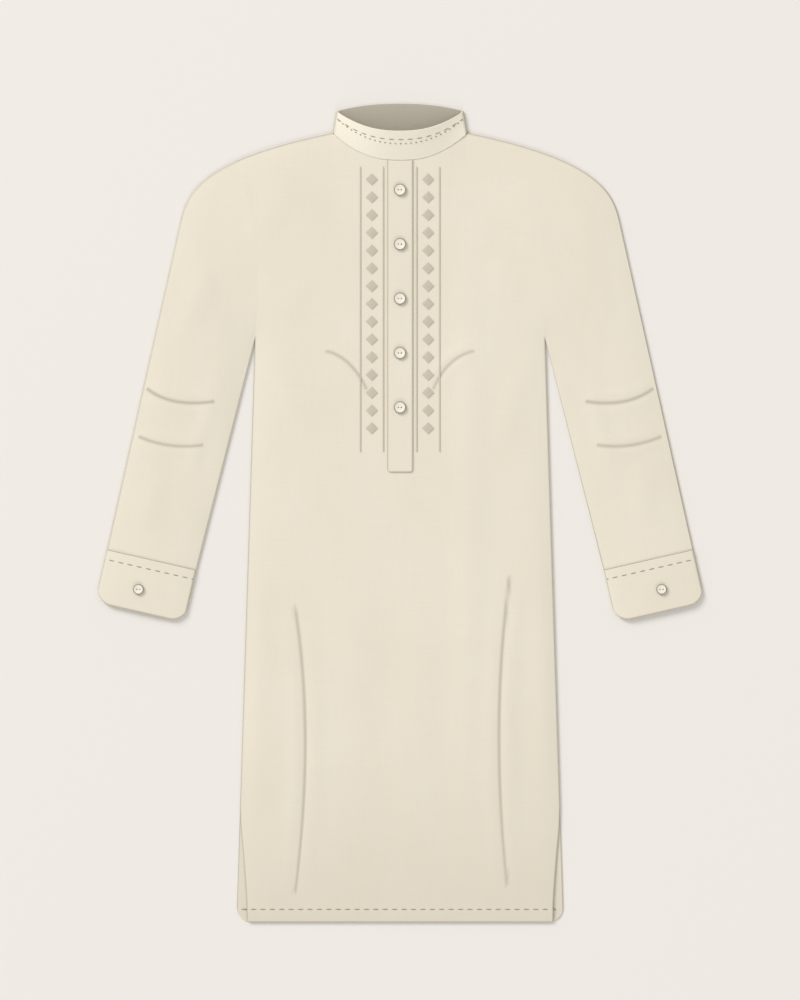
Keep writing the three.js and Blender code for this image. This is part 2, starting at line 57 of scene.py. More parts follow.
# ------------------------------------------------------------------ back panel
# One length of cream cotton from neck to hem, which lies flat underneath the rest.
# It shows at the side slits, where the front's edge swings in from it, and it is
# finished at the hem and slits with a narrow turned hem.
HEM_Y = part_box("back")[0][1]
CLOTH = 0.0012
SEAM = 0.0003                # between pieces at a seam
LENGTH = 1.050               # neck point to hem
NECK_HALF = 0.0896
NECK_CURVE = 2.3
BACK_NECK_DROP = 0.003
SHOULDER = np.array(((0.0896, 1.0500), (0.2688, 1.0134), (0.2838, 0.9696), (0.2925, 0.9306)))
ARMHOLE_TOP_X = 0.218
ARMHOLE_HOLLOW = 0.014
UNDERARM = np.array((0.193, 0.777))
HEM_HALF = 0.2176
HEM_CORNER = 0.020
BACK_LIFT = {"least": 0.0001, "most": 0.0009, "reach": 0.02}
ROUNDING = 1e-6              # allowance for rounding where a point lies on an edge
EDGE_ROUND = 0.0006
SMOOTH_ANGLE = math.radians(50)
SHARP_ANGLE = math.radians(60)
BOLT = {                     # where on the bolt each piece is cut, so that no two look alike
    "back": (0.5, 0), "front": (1.5, 0.003), "sleeve": (3, 0), "cuff": (6, 0),
    "collar": (8, 0), "placket": (10, 0)}


def on_bolt(piece, across, along):
    """Place on the bolt of a piece's points across and along the cloth, which the weave follows."""
    left, start = BOLT[piece]
    return np.stack((across + left, along + start), -1)


def bezier(points, t):
    """Points on a cubic curve at the parameters t."""
    t = np.asarray(t, float)[:, None]
    a, b, c, d = points
    return (1 - t) ** 3 * a + 3 * (1 - t) ** 2 * t * b + 3 * (1 - t) * t * t * c + t ** 3 * d


shoulder_t = np.linspace(0, 1, 600)
shoulder_line = bezier(SHOULDER, shoulder_t)
armhole_t = np.interp(ARMHOLE_TOP_X, shoulder_line[:, 0], shoulder_t)
armhole_top = bezier(SHOULDER, [armhole_t])[0]


def shoulder_y(x):
    return np.interp(x, shoulder_line[:, 0], shoulder_line[:, 1])


def neck_arc(x, half):
    """1 at the centre of the neck and 0 at its corners."""
    return 1 - np.minimum(1, np.abs(x) / half) ** NECK_CURVE


def back_neck_y(x):
    return LENGTH - BACK_NECK_DROP * neck_arc(x, NECK_HALF)


def armhole_x(y):
    down = (armhole_top[1] - y) / (armhole_top[1] - UNDERARM[1])
    straight = armhole_top[0] + (UNDERARM[0] - armhole_top[0]) * down
    return straight - ARMHOLE_HOLLOW * 4 * down * (1 - down)


def body_half(y):
    side = HEM_HALF + (UNDERARM[0] - HEM_HALF) * y / UNDERARM[1]
    return np.where(y > UNDERARM[1], armhole_x(np.maximum(y, UNDERARM[1])), side)


armhole_line = np.stack((armhole_x(np.linspace(UNDERARM[1], armhole_top[1], 40)),
                         np.linspace(UNDERARM[1], armhole_top[1], 40)), -1)


def panel_grid(neck_y, swing, corner, columns, rows):
    """Flat points of a body panel, as arrays x and y of its rows from hem to neck.

    columns and rows are tables of (up to, step): distances from the centre and from the
    hem at which the spacing of the points changes. A column runs up to each neck point.
    """
    def spaced(table, start):
        stops = [start]
        for up_to, step in table:
            count = max(1, round((up_to - stops[-1]) / step))
            stops += list(np.linspace(stops[-1], up_to, count + 1)[1:])
        return np.array(stops)

    by_hem = np.array((0.0006, 0.0016, 0.003, 0.005, 0.008, 0.0115, 0.0155, 0.020))
    by_seam = by_hem[2::-1]
    half = spaced(columns, 0)
    half = np.concatenate((half[:-1], half[-1] - by_seam, half[-1:])) / ARMHOLE_TOP_X
    v = spaced(rows, by_hem[-1])
    v = np.concatenate(((0,), by_hem[:-1], v[:-1], v[-1] - by_seam, v[-1:])) / armhole_top[1]
    u, v = np.meshgrid(np.concatenate((-half[:0:-1], half)), v)
    edge_y = v * armhole_top[1]
    low = np.clip(corner - edge_y, 0, corner)
    rounded = corner - np.sqrt(corner ** 2 - low ** 2)
    x = u * (body_half(edge_y) - swing(edge_y) - rounded)
    top_x = np.abs(u) * ARMHOLE_TOP_X
    top_y = np.where(top_x < NECK_HALF + ROUNDING, neck_y(top_x) - SEAM, shoulder_y(top_x))
    return x, v * top_y


def deselect():
    for selected in list(bpy.context.selected_objects):
        selected.select_set(False)


def apply_modifiers(piece):
    deselect()
    piece.select_set(True)
    bpy.context.view_layer.objects.active = piece
    for modifier in list(piece.modifiers):
        bpy.ops.object.modifier_apply(modifier=modifier.name)


def cloth_sheet(name, points, cloth_uv, wall, faces, closed=False, edge=EDGE_ROUND, flip=False,
                painted_shade_mask=None, sewn_edges=()):
    """A sheet of cloth as a shell: its outer face through points[row, column], its wall inwards.

    A grid is bent to the points, given thickness and a rounded edge. cloth_uv is each
    point's place on the bolt, in metres. faces are the materials of its outer face, inner
    face and edge, the painted-shade mask is how far painted shade darkens each point, and
    sewn_edges are lines of points where another sheet is joined on and the edge stays
    square.
    """
    if flip:
        points, cloth_uv = points[:, ::-1], cloth_uv[:, ::-1]
        painted_shade_mask = None if painted_shade_mask is None else painted_shade_mask[:, ::-1]
    rows, cols = points.shape[:2]
    deselect()
    bpy.ops.mesh.primitive_grid_add(x_subdivisions=cols - 1, y_subdivisions=rows - 1, size=1)
    sheet = bpy.context.object
    sheet.name = name
    mesh = sheet.data
    mesh.name = name
    mesh.vertices.foreach_set("co", points.reshape(-1).astype(np.float32))
    corner_vertex = np.empty(len(mesh.loops), np.int32)
    mesh.loops.foreach_get("vertex_index", corner_vertex)
    uv = mesh.uv_layers[0]
    uv.name = "cloth"
    uv.data.foreach_set("uv", cloth_uv.reshape(-1, 2)[corner_vertex].reshape(-1).astype(np.float32))
    # The mask of painted shade, which the cotton's colour reads.
    depth = mesh.attributes.new("painted_shade_mask", "FLOAT", "POINT")
    if painted_shade_mask is not None:
        depth.data.foreach_set("value", painted_shade_mask.reshape(-1).astype(np.float32))
    for material in faces:
        mesh.materials.append(material)
    mesh.update()
    if closed:
        bpy.ops.object.mode_set(mode="EDIT")
        bpy.ops.mesh.select_all(action="SELECT")
        bpy.ops.mesh.remove_doubles(threshold=ROUNDING)
        bpy.ops.object.mode_set(mode="OBJECT")
    shell = sheet.modifiers.new("wall", "SOLIDIFY")
    shell.thickness = wall
    shell.offset = -1
    shell.material_offset = 1
    shell.material_offset_rim = 2
    apply_modifiers(sheet)
    if edge:
        round_edges(sheet, edge, sewn_edges)
    bpy.ops.object.shade_smooth_by_angle(angle=SMOOTH_ANGLE)
    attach(sheet, "root")
    return sheet


def round_edges(sheet, width, sewn_edges):
    """Rounds a shell's square edges, apart from those along the sewn edges."""
    mesh = sheet.data
    bpy.ops.object.mode_set(mode="EDIT")
    bpy.ops.mesh.select_mode(type="EDGE")
    bpy.ops.mesh.select_all(action="DESELECT")
    bpy.ops.mesh.edges_select_sharp(sharpness=SHARP_ANGLE)
    bpy.ops.object.mode_set(mode="OBJECT")
    sharp = np.empty(len(mesh.edges), bool)
    mesh.edges.foreach_get("select", sharp)
    ends = np.empty(2 * len(mesh.edges), np.int32)
    mesh.edges.foreach_get("vertices", ends)
    places = np.empty(3 * len(mesh.vertices), np.float32)
    mesh.vertices.foreach_get("co", places)
    middles = places.reshape(-1, 3)[ends.reshape(-1, 2)].mean(1)
    for line in sewn_edges:
        away, _, _ = nearest(np.abs(middles[:, 0]), middles[:, 1] - HEM_Y, line)
        sharp &= away > 2 * SEAM
    weights = mesh.attributes.new("bevel_weight_edge", "FLOAT", "EDGE")
    weights.data.foreach_set("value", sharp.astype(np.float32))
    rim = sheet.modifiers.new("edge", "BEVEL")
    rim.width = width
    rim.segments = 2
    rim.limit_method = "WEIGHT"
    rim.material = 2
    apply_modifiers(sheet)
    mesh.attributes.remove(mesh.attributes["bevel_weight_edge"])


def nearest(x, y, line):
    """Distance of each point to a line of points, its side (left is 1) and how far along it is."""
    best = np.full(x.shape, np.inf)
    side, where = np.zeros(x.shape), np.zeros(x.shape)
    for number, (a, b) in enumerate(zip(line[:-1], line[1:])):
        run = b - a
        share = np.clip(((x - a[0]) * run[0] + (y - a[1]) * run[1]) / (run @ run), 0, 1)
        dx, dy = x - a[0] - share * run[0], y - a[1] - share * run[1]
        d = np.hypot(dx, dy)
        closer = d < best
        best = np.where(closer, d, best)
        side = np.where(closer, np.sign(run[0] * dy - run[1] * dx), side)
        where = np.where(closer, (number + share) / (len(line) - 1), where)
    return best, side, where


def srgb(red, green, blue):
    """Linear colour of an sRGB colour given as 0 to 255."""
    values = [channel / 255 for channel in (red, green, blue)]
    return (*[v / 12.92 if v <= 0.04045 else ((v + 0.055) / 1.055) ** 2.4 for v in values], 1)


def new_group(name, inputs, outputs):
    """An empty shader node group with named float, vector or colour sockets."""
    group = bpy.data.node_groups.new(name, "ShaderNodeTree")
    for direction, sockets in (("INPUT", inputs), ("OUTPUT", outputs)):
        for label, kind, value in sockets:
            made = group.interface.new_socket(name=label, in_out=direction,
                                              socket_type=f"NodeSocket{kind}")
            if value is not None:
                made.default_value = value
    return group, group.nodes.new("NodeGroupInput"), group.nodes.new("NodeGroupOutput")


def math_node(tree, operation, first, second=None):
    node = tree.nodes.new("ShaderNodeMath")
    node.operation = operation
    for socket, value in zip(node.inputs, (first, second)):
        if isinstance(value, (int, float)):
            socket.default_value = value
        elif value is not None:
            tree.links.new(value, socket)
    return node.outputs[0]


def stretched_noise(tree, coordinates, scale, detail=2.0):
    """Noise drawn out along one thread direction: scale is cycles per metre along u and v."""
    mapping = tree.nodes.new("ShaderNodeMapping")
    mapping.inputs["Scale"].default_value = (*scale, 1)
    noise = tree.nodes.new("ShaderNodeTexNoise")
    noise.inputs["Scale"].default_value = 1
    noise.inputs["Detail"].default_value = detail
    tree.links.new(coordinates, mapping.inputs["Vector"])
    tree.links.new(mapping.outputs["Vector"], noise.inputs["Vector"])
    return noise.outputs["Fac"]


# Plain weave of hand-spun cotton: over-and-under threads, thick places along both thread
# directions and slow clouds over the whole cloth, each with its cycles per metre.
SLUBS = {"along": 16, "across": 520, "tone": 0.8}
CLOUDS = {"cycles": (9, 6), "detail": 3.0}
CROSSINGS = {"high": 0.35, "tone": 0.06}
weave, weave_in, weave_out = new_group(
    "plain weave",
    [("Cloth place", "Vector", None), ("Threads per metre", "Float", 900.0), ("Slub", "Float", 0.5)],
    [("Height", "Float", None), ("Tone", "Float", None)])
place = weave_in.outputs["Cloth place"]
split = weave.nodes.new("ShaderNodeSeparateXYZ")
weave.links.new(place, split.inputs[0])
turns = math_node(weave, "MULTIPLY", weave_in.outputs["Threads per metre"], math.pi)
warp = math_node(weave, "SINE", math_node(weave, "MULTIPLY", split.outputs["X"], turns))
weft = math_node(weave, "SINE", math_node(weave, "MULTIPLY", split.outputs["Y"], turns))
crossing = math_node(weave, "MULTIPLY", warp, weft)
warp_slubs = stretched_noise(weave, place, (SLUBS["across"], SLUBS["along"]))
weft_slubs = stretched_noise(weave, place, (SLUBS["along"], SLUBS["across"]))
slubs = math_node(weave, "SUBTRACT", math_node(weave, "ADD", warp_slubs, weft_slubs), 1.0)
slubs = math_node(weave, "MULTIPLY", slubs, weave_in.outputs["Slub"])
clouds = stretched_noise(weave, place, CLOUDS["cycles"], CLOUDS["detail"])
clouds = math_node(weave, "SUBTRACT", clouds, 0.5)
height = math_node(weave, "ADD", math_node(weave, "MULTIPLY", crossing, CROSSINGS["high"]), slubs)
weave.links.new(height, weave_out.inputs["Height"])
tone = math_node(weave, "ADD", math_node(weave, "MULTIPLY", slubs, SLUBS["tone"]), clouds)
tone = math_node(weave, "ADD", math_node(weave, "MULTIPLY", crossing, CROSSINGS["tone"]), tone)
weave.links.new(math_node(weave, "ADD", tone, 0.5), weave_out.inputs["Tone"])


def new_material(name, finish):
    """A material with the finish's values on its shader's own sockets."""
    material = bpy.data.materials.new(name)
    material.use_nodes = True
    shader = material.node_tree.nodes["Principled BSDF"]
    for socket, value in finish.items():
        shader.inputs[socket].default_value = value
    return material, material.node_tree, shader


def two_tones(tree, factor, dark, light):
    """Colour between two tones, of which the dark one may come from another node."""
    mix = tree.nodes.new("ShaderNodeMix")
    mix.data_type = "RGBA"
    mix.inputs["B"].default_value = light
    if isinstance(dark, tuple):
        mix.inputs["A"].default_value = dark
    else:
        tree.links.new(dark, mix.inputs["A"])
    tree.links.new(factor, mix.inputs["Factor"])
    return mix.outputs["Result"]


def add_bump(tree, shader, height, strength, distance):
    bump = tree.nodes.new("ShaderNodeBump")
    bump.inputs["Strength"].default_value = strength
    bump.inputs["Distance"].default_value = distance
    tree.links.new(height, bump.inputs["Height"])
    tree.links.new(bump.outputs["Normal"], shader.inputs["Normal"])


def cotton(name, light, dark):
    """Matt cotton, clouded between two tones, with painted shade mixed in from its mask: darker along
    creases, edges and towards the hem.
    """
    material, tree, shader = new_material(name, {
        "Roughness": 0.88, "Specular IOR Level": 0.3, "Sheen Weight": 0.15, "Sheen Roughness": 0.5})
    uv = tree.nodes.new("ShaderNodeUVMap")
    uv.uv_map = "cloth"
    cloth = tree.nodes.new("ShaderNodeGroup")
    cloth.node_tree = weave
    tree.links.new(uv.outputs["UV"], cloth.inputs["Cloth place"])
    painted_shade_mask = tree.nodes.new("ShaderNodeAttribute")
    painted_shade_mask.attribute_name = "painted_shade_mask"
    clouded = two_tones(tree, cloth.outputs["Tone"], dark, light)
    # Painted shade: the colour is mixed towards a darker beige as far as the mask says, along creases,
    # edges and towards the hem.
    with_painted_shade = two_tones(tree, painted_shade_mask.outputs["Fac"], clouded, srgb(190, 181, 162))
    tree.links.new(with_painted_shade, shader.inputs["Base Color"])
    add_bump(tree, shader, cloth.outputs["Height"], strength=0.5, distance=0.0003)
    return material


cream_cotton = cotton("cream cotton", srgb(241, 233, 215), srgb(231, 223, 204))
# The cloth's edge faces: cotton painted darker, painted shade along every rim and fold.
edge_cotton_painted_shade = cotton("cotton edge with painted shade", srgb(190, 181, 163), srgb(180, 171, 153))
cream_faces = (cream_cotton, cream_cotton, edge_cotton_painted_shade)

# Creases: from one end over the middle to the other. Each is a narrow groove between two
# soft swellings; `wide` and `high` are the swellings', `lean` is the share of the height
# on the left side of its direction, and the last column how far painted shade darkens the
# cloth along its groove. The swellings crest, spread and end at shares of `wide`, and both
# fade towards their ends.
CREASE_COLUMNS = ("x1", "y1", "xm", "ym", "x2", "y2", "wide", "high", "lean", "painted_shade")
SWELLING = {"crest": 0.8, "spread": 0.75, "end": 3}
GROOVE = {"wide": 0.0023, "deep": 0.0005, "taper": 0.016, "thinnest": 0.4}
FADE = 0.7
# Painted shade: the cloth is painted darker towards the hem.
HEM_PAINTED_SHADE = {"painted_shade": 0.24, "reach": 0.18, "fall": 1.3}
# Painted shade: the cloth is painted darker along every edge and fold.
EDGE_PAINTED_SHADE = {"painted_shade": 1.0, "reach": 0.0012}

# Broad soft rises where the cloth doesn't lie quite flat.
SWELL_COLUMNS = ("x1", "y1", "x2", "y2", "wide", "high")
SWELL_ENDS = (0.03, 0.97)    # shares of the length past which it falls no lower

# The underside's creases: shallow, pressed flat by the weight of the cloth over them.
BACK_CREASES = (
    (-0.120, 0.905, -0.060, 0.884, 0.010, 0.890, 0.0100, 0.0005, 0.4, 0.5),
    (0.105, 0.800, 0.062, 0.775, 0.040, 0.730, 0.0095, 0.0005, 0.6, 0.6),
    (-0.110, 0.790, -0.070, 0.762, -0.052, 0.715, 0.0095, 0.0005, 0.4, 0.6),
    (-0.070, 0.560, 0.000, 0.541, 0.080, 0.552, 0.0110, 0.0006, 0.6, 0.5),
    (-0.128, 0.440, -0.118, 0.250, -0.132, 0.050, 0.0130, 0.0006, 0.6, 0.7),
    (0.136, 0.410, 0.125, 0.235, 0.134, 0.045, 0.0130, 0.0006, 0.4, 0.7),
    (0.020, 0.390, 0.008, 0.230, 0.022, 0.080, 0.0120, 0.0005, 0.5, 0.4),
    (-0.338, 0.706, -0.298, 0.690, -0.246, 0.698, 0.0100, 0.0005, 0.6, 0.7),
    (-0.346, 0.642, -0.306, 0.630, -0.262, 0.640, 0.0095, 0.0005, 0.6, 0.6),
    (0.338, 0.706, 0.298, 0.690, 0.246, 0.698, 0.0100, 0.0005, 0.4, 0.7),
    (0.346, 0.642, 0.306, 0.630, 0.262, 0.640, 0.0095, 0.0005, 0.4, 0.6),
)


def creases(x, y, rows, swells=()):
    """Height that creases and swellings add to the cloth, and how far painted shade darkens it along
    the creases and towards the hem.
    """
    height = np.zeros(x.shape)
    painted_shade = HEM_PAINTED_SHADE["painted_shade"] * np.exp(-np.maximum(0, y / HEM_PAINTED_SHADE["reach"]) ** HEM_PAINTED_SHADE["fall"])
    for row in rows:
        c = dict(zip(CREASE_COLUMNS, row))
        start, end = np.array((c["x1"], c["y1"])), np.array((c["x2"], c["y2"]))
        pull = 2 * np.array((c["xm"], c["ym"])) - (start + end) / 2
        t = np.linspace(0, 1, 17)[:, None]
        path = (1 - t) ** 2 * start + 2 * (1 - t) * t * pull + t * t * end
        away, side, where = nearest(x, y, path)
        fade = np.sin(math.pi * np.clip(where, 0, 1)) ** FADE
        lean = 1 + side * (2 * c["lean"] - 1) * np.minimum(1, away / c["wide"])
        swelling = np.exp(-((away / c["wide"] - SWELLING["crest"]) / SWELLING["spread"]) ** 2)
        groove = np.exp(-(away / GROOVE["wide"]) ** 2)
        past_end = np.exp(-(away / (SWELLING["end"] * c["wide"])) ** 4)
        height += fade * past_end * (c["high"] * lean * swelling - GROOVE["deep"] * groove)
        taper = np.clip(np.minimum(where, 1 - where) / GROOVE["taper"], 0, 1) ** FADE
        thin = GROOVE["thinnest"] + (1 - GROOVE["thinnest"]) * taper
        line = np.exp(-(away / (GROOVE["wide"] * thin)) ** 2)
        painted_shade = np.maximum(painted_shade, c["painted_shade"] * line * taper)
    for row in swells:
        c = dict(zip(SWELL_COLUMNS, row))
        line = np.array(((c["x1"], c["y1"]), (c["x2"], c["y2"])))
        away, _, where = nearest(x, y, line)
        fade = np.sin(math.pi * np.clip(where, *SWELL_ENDS))
        height += c["high"] * np.exp(-(away / c["wide"]) ** 2) * fade
    return height, painted_shade


def edge_painted_shade(from_edge, reach=EDGE_PAINTED_SHADE["reach"]):
    """How far painted shade darkens the cloth along a fold or a seamed edge."""
    return EDGE_PAINTED_SHADE["painted_shade"] * np.exp(-(np.maximum(from_edge, 0) / reach) ** 2)


def back_lift(x, y, from_edge):
    """How far the under layer is off the floor in its creases."""
    height = creases(x, y, BACK_CREASES)[0] + BACK_LIFT["least"]
    return np.clip(height, 0, BACK_LIFT["most"]) * np.clip(from_edge / BACK_LIFT["reach"], 0, 1)


back_x, back_y = panel_grid(
    back_neck_y, lambda y: 0 * y, HEM_CORNER,
    columns=((NECK_HALF, 0.0064), (0.112, 0.0045), (0.140, 0.0018), (ARMHOLE_TOP_X, 0.0070)),
    rows=((0.700, 0.0068), (0.800, 0.0028), (armhole_top[1], 0.0050)))
back_edge = np.minimum(np.minimum(body_half(back_y) - np.abs(back_x), back_y),
                       shoulder_y(np.abs(back_x)) - back_y)
back_z = CLOTH + back_lift(back_x, back_y, back_edge)
back_points = np.stack((back_x, back_y + HEM_Y, back_z), -1)
back_painted_shade = np.maximum(creases(back_x, back_y, BACK_CREASES)[1], edge_painted_shade(back_edge))
back = cloth_sheet("back_panel", back_points, on_bolt("back", back_x, back_y), CLOTH,
                   cream_faces, painted_shade_mask=back_painted_shade)
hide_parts("back")

# ------------------------------------------------------------------ front panel
# The same cream cotton, sewn to the back along the shoulders and down the sides to the
# slits. It lies on the back with a little air under it, softly creased from wear at the
# chest and down the skirt, with a turned hem and narrow turned edges at the slits.
FRONT_NECK_DROP = 0.0364
FRONT_CORNER = 0.003         # the back's rounded corner passes through the front's
SLEEVE_END = {"outer": np.array((0.3902, 0.4953)), "inner": np.array((0.2712, 0.4682))}
CUFF_DEPTH = 0.071
LOFT = {"height": 0.0022, "reach": 0.016, "neck": 0.0016, "neck reach": 0.060}
HEM_TURN = {"deep": 0.0180, "thick": 0.0005, "soft": 0.0016}
SLIT_SWING = np.array((      # height above the hem, swing of the front's edge
    (0.000, 0.0142),
    (0.027, 0.0130),
    (0.053, 0.0105),
    (0.094, 0.0059),
    (0.129, 0.0014),
    (0.1544, 0.0),
))

FRONT_CREASES = (
    # chest, from below the armhole in towards the placket
    (-0.0985, 0.760, -0.067, 0.7425, -0.0440, 0.708, 0.0100, 0.0006, 0.6, 0.72),
    (0.0985, 0.760, 0.067, 0.7425, 0.0440, 0.708, 0.0100, 0.0006, 0.4, 0.62),
    # sleeves, across above and below the elbow
    (-0.3375, 0.7105, -0.298, 0.6925, -0.246, 0.693, 0.0120, 0.0007, 0.6, 0.85),
    (-0.3485, 0.6465, -0.306, 0.634, -0.261, 0.635, 0.0105, 0.0006, 0.6, 0.75),
    (0.3375, 0.7105, 0.298, 0.6925, 0.246, 0.693, 0.0120, 0.0007, 0.4, 0.85),
    (0.3485, 0.6465, 0.306, 0.634, 0.261, 0.635, 0.0105, 0.0006, 0.4, 0.75),
    # skirt, long and soft
    (-0.1400, 0.421, -0.1257, 0.240, -0.1399, 0.036, 0.0150, 0.0009, 0.45, 0.8),
    (0.1466, 0.4635, 0.1322, 0.262, 0.1426, 0.044, 0.0150, 0.0009, 0.55, 0.8),
)
SWELLS = (
    (0.092, 0.940, 0.090, 0.060, 0.022, 0.0013),
    (-0.060, 0.560, -0.075, 0.120, 0.040, 0.0011),
    (0.030, 0.520, 0.022, 0.080, 0.030, 0.0009),
    (-0.185, 0.500, -0.195, 0.090, 0.018, 0.0008),
    (0.190, 0.560, 0.196, 0.120, 0.016, 0.0008),
    (-0.178, 0.770, -0.120, 0.640, 0.018, 0.0010),
    (0.178, 0.770, 0.126, 0.610, 0.018, 0.0010),
    (-0.165, 0.820, -0.110, 0.860, 0.020, 0.0008),
    (0.168, 0.830, 0.120, 0.880, 0.022, 0.0008),
    (-0.150, 0.990, -0.190, 0.900, 0.020, 0.0009),
    (0.152, 0.985, 0.196, 0.890, 0.022, 0.0009),
    (-0.250, 0.880, -0.300, 0.760, 0.018, 0.0010),
    (0.246, 0.890, 0.290, 0.770, 0.020, 0.0010),
    (-0.320, 0.600, -0.345, 0.510, 0.014, 0.0009),
    (0.318, 0.610, 0.330, 0.520, 0.016, 0.0009),
    (-0.236, 0.740, -0.290, 0.570, 0.012, 0.0008),
    (0.240, 0.750, 0.288, 0.580, 0.012, 0.0008),
)


def swing(y):
    return np.interp(y, SLIT_SWING[:, 0], SLIT_SWING[:, 1])


def front_neck_y(x):
    return LENGTH - FRONT_NECK_DROP * neck_arc(x, NECK_HALF)


neck_line = np.stack((np.linspace(0, NECK_HALF, 40), front_neck_y(np.linspace(0, NECK_HALF, 40))), -1)

across = SLEEVE_END["inner"] - SLEEVE_END["outer"]
cuff_width = float(np.hypot(*across))
across = across / cuff_width
along = np.array((-across[1], across[0]))
outline = np.concatenate((
    bezier(SHOULDER, np.linspace(0, 1, 25)),
    [SLEEVE_END["outer"], SLEEVE_END["outer"] + along * CUFF_DEPTH,
     SLEEVE_END["inner"] + along * CUFF_DEPTH, SLEEVE_END["inner"],
     UNDERARM, (HEM_HALF, 0), (0, 0)]))


def under_height(x, y):
    """Underside of the upper layer of cloth, at flat points counted from the hem."""
    edge, _, _ = nearest(np.abs(x), y, outline)
    air = LOFT["height"] * (1 - np.exp(-edge / LOFT["reach"]))
    below_neck = np.maximum(0, front_neck_y(x) - y)
    neck = LOFT["neck"] * neck_arc(x, NECK_HALF) * np.exp(-below_neck / LOFT["neck reach"])
    inside = np.minimum(1, edge / LOFT["reach"])
    return CLOTH + SEAM + air + neck + creases(x, y, FRONT_CREASES, SWELLS)[0] * inside


def upper_face(x, y):
    return under_height(x, y) + CLOTH


front_x, front_y = panel_grid(
    front_neck_y, swing, FRONT_CORNER,
    columns=((0.041, 0.0042), (NECK_HALF, 0.0013), (0.102, 0.0013), (0.124, 0.0035), (0.150, 0.0013),
             (ARMHOLE_TOP_X, 0.0048)),
    rows=((0.700, 0.0075), (0.766, 0.0012), (armhole_top[1], 0.0048)))
turned = (1 - np.tanh((front_y - HEM_TURN["deep"]) / HEM_TURN["soft"])) / 2
front_z = upper_face(front_x, front_y) + HEM_TURN["thick"] * turned
front_points = np.stack((front_x, front_y + HEM_Y, front_z), -1)
slit_edge = np.where(front_y < SLIT_SWING[-1, 0],
                     body_half(front_y) - swing(front_y) - np.abs(front_x), 1)
front_edge = np.minimum(nearest(np.abs(front_x), front_y, outline)[0], slit_edge)
front_painted_shade = np.maximum(creases(front_x, front_y, FRONT_CREASES)[1], edge_painted_shade(front_edge))
front = cloth_sheet("front_panel", front_points, on_bolt("front", front_x, front_y), CLOTH,
                    cream_faces, painted_shade_mask=front_painted_shade, sewn_edges=(armhole_line, neck_line))
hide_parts("front")

# ------------------------------------------------------------------ sleeves
# Each is one cloth, folded at the outer edge and seamed along the inner edge under the
# arm, set into the armhole with a plain seam. It lies flat as a tube of two layers.
FOLD_GAP = 0.0008            # between the two layers where a tube is folded
CAP_BULGE = 1.05             # length of the shoulder's round over that of the line between its ends
SLEEVE_LENGTH = 0.54
SLEEVE_ROWS = ((0, 27), (0.25, 229), (0.76, 29), (1, 0))    # share of the length, rows after it
FLAT_FOLD = 0.004            # strip beside the fold that stays down on the floor
cap_end = SHOULDER[3]
cap_length = float(np.hypot(*(cap_end - armhole_top))) * CAP_BULGE
cap_share = cap_length / (cap_length + float(np.hypot(*(SLEEVE_END["outer"] - cap_end))))


def tube_section(width, wall, spans, closed):
    """Outer face of a flattened tube: its stations' place across, height and layer.

    The under layer lies at height 0, a fold turns up at q = 0, and the upper layer's
    height is left at nan, to be filled in. A closed tube folds at the far edge too.
    """
    fold = wall + FOLD_GAP / 2
    far = width - fold if closed else width

    def eased(count):
        even = np.linspace(0, 1, count + 1)
        return (even + (1 - np.cos(np.pi * even)) / 2) / 2

    turn = np.pi * (np.linspace(0, 1, spans["fold"] + 1)[1:-1] - 0.5)
    q = [far + (fold - far) * eased(spans["under"]), fold - fold * np.cos(turn),
         fold + (far - fold) * eased(spans["over"])]
    z = [0 * q[0], fold + fold * np.sin(turn), np.full(len(q[2]), np.nan)]
    layer = [np.zeros(len(q[0])), np.full(len(turn), 0.5), np.ones(len(q[2]))]
    if closed:
        q += [far + fold * np.cos(turn), q[0][:1]]
        z += [fold + fold * np.sin(-turn), z[0][:1]]
        layer += [layer[1], layer[0][:1]]
    return np.concatenate(q), np.concatenate(z), np.concatenate(layer)


def sleeve(name, side):
    spans = {"under": 34, "fold": 6, "over": 112}
    rows, cloth_points, painted_shade_rows = [], [], []
    shares, counts = np.array(SLEEVE_ROWS).T
    for v in np.interp(np.arange(counts.sum() + 1), np.cumsum((0, *counts[:-1])), shares):
        if v < cap_share:
            outer = bezier(SHOULDER, [armhole_t + (1 - armhole_t) * v / cap_share])[0]
        else:
            outer = cap_end + (SLEEVE_END["outer"] - cap_end) * (v - cap_share) / (1 - cap_share)
        inner = UNDERARM + (SLEEVE_END["inner"] - UNDERARM) * v
        width = float(np.hypot(*(inner - outer)))
        q, z, layer = tube_section(width, CLOTH, spans, False)
        share = q / width
        hollow = ARMHOLE_HOLLOW * 4 * share * (1 - share) * (1 - v) ** 3
        x = outer[0] + (inner[0] - outer[0]) * share - hollow
        y = outer[1] + (inner[1] - outer[1]) * share
        lowest = CLOTH + np.where(q < FOLD_GAP + CLOTH + ROUNDING, CLOTH + FOLD_GAP, SEAM + CLOTH)
        under = back_lift(side * x, y, np.minimum(q - FLAT_FOLD, width - q))
        z = np.where(layer == 1, np.maximum(upper_face(side * x, y), lowest),
                     z + np.where(layer == 0, under, 0))
        rows.append(np.stack((side * x, y + HEM_Y, z), -1))
        painted_shade = np.where(layer == 1, creases(side * x, y, FRONT_CREASES)[1],
                        np.where(layer == 0, creases(side * x, y, BACK_CREASES)[1], 0))
        painted_shade_rows.append(np.maximum(painted_shade, edge_painted_shade(np.minimum(q, width - q))))
        round_the_arm = np.where(layer == 0, -q, np.where(layer == 1, q, 0))
        cloth_points.append(on_bolt("sleeve", round_the_arm + side, 0 * q - v * SLEEVE_LENGTH))
    points, cloth_uv = np.array(rows), np.array(cloth_points)
    piece = cloth_sheet(f"{name}_cloth", points, cloth_uv, CLOTH, cream_faces,
                        flip=side < 0, painted_shade_mask=np.array(painted_shade_rows), sewn_edges=(armhole_line,))
    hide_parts(name)


